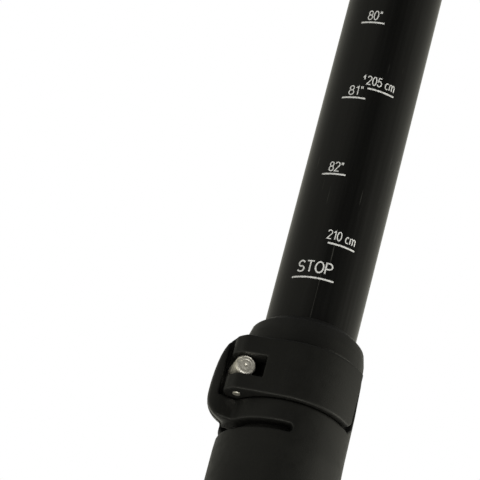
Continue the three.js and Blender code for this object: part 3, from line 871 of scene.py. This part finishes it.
def ribbon(points, half):
    """A closed thin strip along a centre line, with its sides mitred at the bends."""
    line = [Vector(points[0])]
    for start, end in zip(points, points[1:]):
        parts = max(1, math.ceil(math.dist(start, end) / (0.6 * MM)))
        line += [Vector(start).lerp(Vector(end), k / parts) for k in range(1, parts + 1)]
    loop = (line[0] - line[-1]).length < 1e-6
    if loop:
        line.pop()
    verts, faces = [], []
    last = len(line) - 1
    for i, here in enumerate(line):
        before = line[i - 1] if i or loop else here
        after = line[(i + 1) % len(line)] if i < last or loop else here
        first, second = (here - before).normalized(), (after - here).normalized()
        along = (first + second).normalized()
        reach = half / max(along.dot(first), along.dot(second), 0.5)
        across = Vector((-along.y, along.x)) * reach
        left, right = here + across, here - across
        verts += [(*left, 0), (*right, 0), (*right, -PRINT_DEPTH), (*left, -PRINT_DEPTH)]
    for i in range(last + 1 if loop else last):
        a, b = 4 * i, 4 * ((i + 1) % len(line))
        for j in range(4):
            k = (j + 1) % 4
            faces.append((a + k, a + j, b + j, b + k))
    if not loop:
        faces += [(0, 1, 2, 3), tuple(4 * last + j for j in (3, 2, 1, 0))]
    return verts, faces


def text_mesh(words, size, left, right, thickness):
    """Thin letters of that height whose line runs from left to right."""
    letters = letter_strokes()
    width = sum(letters[w][0] + LETTER_GAP for w in words) - LETTER_GAP
    stretch = (right - left - thickness) / width
    start = left + thickness / 2
    strips = []
    for word in words:
        advance, strokes = letters[word]
        for stroke in strokes:
            line = [(start + x * stretch, thickness / 2 + y * (size - thickness)) for x, y in stroke]
            strips.append(ribbon(line, thickness / 2))
        start += (advance + LETTER_GAP) * stretch
    return joined(*strips)


def mark(name, words, height, lift, text_span, line_span, size, stroke, tick=False):
    """A caption over its line, at a height above the rim.

    The caption stands a lift above the line, and both spans are degrees from the front. The tick is a small
    stray flag at the caption's upper left.
    """

    def near(degrees):
        return math.radians(degrees) * TUBE_R

    left, right = near(text_span[0]), near(text_span[1])
    verts, faces = text_mesh(words, size, left, right, stroke)
    verts = [(x, y + LINE_THICKNESS + lift, z) for x, y, z in verts]
    half = LINE_THICKNESS / 2
    line = [(near(line_span[0]), half), (near(line_span[1]), half)]
    prints = [(verts, faces), ribbon(line, half)]
    if tick:
        top = LINE_THICKNESS + lift + size
        start = left - 0.7 * MM
        flag = [(start - 0.4 * MM, top - size * 0.3), (start, top), (start, top - size * 0.5)]
        prints.append(ribbon(flag, stroke / 2))
    verts, faces = joined(*prints)
    verts = wrapped(verts, RIM + height)
    add_piece(name, verts, faces, "upper", "scale_print", scale_print, smooth=False)


mark("mark_stop", "STOP", STOP_RISE, 1.3 * MM, (-37.6, 7.6), (-42.6, 12), 3.8 * MM, 0.42 * MM)
for i in range(16):
    inches = 82 - i
    rise = FIRST_INCH_RISE + INCH * i
    mark(
        f"mark_{inches}_in", f'{inches}"', rise, 0.55 * MM,
        (-30, -11.5), (-37.5, -6.5), 3.2 * MM, 0.29 * MM,
    )
for i in range(9):
    cm = 210 - 5 * i
    rise = FIRST_CM_RISE + CM_STEP * i
    mark(
        f"mark_{cm}_cm", f"{cm} cm", rise, 0.95 * MM,
        (-10, 27), (-6.9, 28.3), 3.0 * MM, 0.29 * MM, cm == 205,
    )


# --- carried-over CAD nodes ---

FINISHES = {
    "upper_foam_plug": float_foam,
    "lower_foam_plug": float_foam,
    "shaft_end_plug": clamp_black,
    "collar_liner": clamp_black,
    "seal_ring": seal_rubber,
    "glide_ring": glide_nylon,
    "cam_plate": clamp_black,
    "tension_nut": steel_bright,
}
for name, finish in FINISHES.items():
    carried = frame["nodes"][name]
    carried.data.materials.clear()
    carried.data.materials.append(finish)


# --- studio ---

WARM = (1.0, 0.985, 0.85)
NEUTRAL = (1, 1, 1)
CLAMP = (0, 0, RIM)


def area_light(name, location, size, power, color):
    """A soft rectangular light that is aimed at the clamp; its power is in watts."""
    light = bpy.data.lights.new(name, "AREA")
    light.shape = "RECTANGLE"
    light.size, light.size_y = size
    light.energy = power
    light.color = color
    holder = bpy.data.objects.new(name, light)
    bpy.context.scene.collection.objects.link(holder)
    aim = (Vector(CLAMP) - Vector(location)).to_track_quat("-Z", "Y").to_matrix().to_4x4()
    holder.matrix_world = Matrix.Translation(location) @ aim
    return holder


# Brightness of the surroundings by direction: degrees from the front, towards +X. The white backdrop is
# behind, a broad soft light on the left, and the dark of the room in front.
SURROUNDINGS = [
    (-180, 1.0), (-150, 0.55), (-110, 0.3), (-85, 0.24), (-45, 0.28), (-22, 0.19), (-8, 0.08),
    (14, 0.05), (32, 0.08), (60, 0.16), (85, 0.22), (105, 0.34), (125, 0.46), (150, 0.6), (168, 1.0),
]


def studio_world():
    """A white backdrop, and soft surroundings that light the object from all sides."""
    world = bpy.data.worlds.new("studio")
    bpy.context.scene.world = world
    world.use_nodes = True
    tree = world.node_tree
    place = node(tree, "ShaderNodeTexCoord")
    parts = node(tree, "ShaderNodeSeparateXYZ")
    tree.links.new(place.outputs["Generated"], parts.inputs["Vector"])
    front = node(tree, "ShaderNodeMath", operation="MULTIPLY")
    front.inputs[1].default_value = -1
    tree.links.new(parts.outputs["Y"], front.inputs[0])
    turn = node(tree, "ShaderNodeMath", operation="ARCTAN2")
    tree.links.new(parts.outputs["X"], turn.inputs[0])
    tree.links.new(front.outputs[0], turn.inputs[1])
    share = node(tree, "ShaderNodeMapRange")
    share.inputs["From Min"].default_value = -math.pi
    share.inputs["From Max"].default_value = math.pi
    tree.links.new(turn.outputs[0], share.inputs["Value"])
    stops = [((d + 180) / 360, tuple(level * c for c in WARM)) for d, level in SURROUNDINGS]
    around = ramp(tree, share.outputs["Result"], stops)
    overhead = ramp(tree, parts.outputs["Z"], [(0.6, 0.0), (0.95, 1.0)])
    both = mixed(tree, overhead, around, (0.2, 0.2, 0.2, 1))
    seen = node(tree, "ShaderNodeLightPath").outputs["Is Camera Ray"]
    tree.links.new(mixed(tree, seen, both, (1, 1, 1, 1)), tree.nodes["Background"].inputs["Color"])


def floor():
    """White paper below the blade, which glows for the camera alone and lights nothing."""
    half, drop = 6, 0.02
    z = BLADE_TIP - drop
    mesh = bpy.data.meshes.new("floor")
    corners = [(-half, -half, z), (half, -half, z), (half, half, z), (-half, half, z)]
    mesh.from_pydata(corners, [], [(0, 1, 2, 3)])
    made = bpy.data.objects.new("floor", mesh)
    bpy.context.scene.collection.objects.link(made)
    material, tree, shader = new_material("floor_paper")
    grain = noise(tree, 40, 4)
    color = ramp(tree, grain, [(0.3, (0.84, 0.84, 0.84)), (0.7, (0.88, 0.88, 0.88))])
    tree.links.new(color, shader.inputs["Base Color"])
    shader.inputs["Roughness"].default_value = 0.9
    shader.inputs["Emission Color"].default_value = (1, 1, 1, 1)
    seen = node(tree, "ShaderNodeLightPath").outputs["Is Camera Ray"]
    tree.links.new(seen, shader.inputs["Emission Strength"])
    made.data.materials.append(material)


def main_camera():
    """From in front and below, close on the clamp, as a long lens sees it."""
    distance, tilt = 1119.19 * MM, math.radians(27.007)
    target = Vector((0, 0, RIM + 24.8 * MM))
    place = target + distance * Vector((0, -math.cos(tilt), -math.sin(tilt)))
    forward = (target - place).normalized()
    right = forward.cross(Vector((0, 0, 1))).normalized()
    up = right.cross(forward)
    pan, roll = math.radians(1.3118), math.radians(-14.394)
    ahead = forward * math.cos(pan) - right * math.sin(pan)
    side = right * math.cos(pan) + forward * math.sin(pan)
    rolled = side * math.cos(roll) - up * math.sin(roll)
    above = side * math.sin(roll) + up * math.cos(roll)
    data = bpy.data.cameras.new("main")
    data.sensor_width = 36
    data.lens = 299.06
    data.clip_start, data.clip_end = 0.05, 100
    camera = bpy.data.objects.new("main", data)
    bpy.context.scene.collection.objects.link(camera)
    matrix = Matrix((rolled, above, -ahead)).transposed().to_4x4()
    matrix.translation = place
    camera.matrix_world = matrix
    bpy.context.scene.camera = camera


studio_world()
floor()
main_camera()
area_light("side_strip", (1.5, -0.1, RIM - 0.1), (1.6, 0.35), 12, WARM)
area_light("low_front", (0, -0.6, RIM - 1.04), (0.6, 0.6), 4, WARM)
area_light("low_left", (-1.35, -0.25, RIM - 0.5), (0.8, 0.5), 2, WARM)

# This light falls on the steel and the print alone, which are much brighter than the black beside them.
fill = area_light("bright_parts_fill", (0.25, -1.6, RIM - 0.75), (0.7, 0.7), 15, NEUTRAL)
bright_parts = bpy.data.collections.new("bright_parts")
for piece in bpy.context.scene.objects:
    if piece.type == "MESH" and piece.active_material in (steel_bright, scale_print):
        bright_parts.objects.link(piece)
fill.light_linking.receiver_collection = bright_parts
bpy.context.scene.view_settings.view_transform = "Standard"
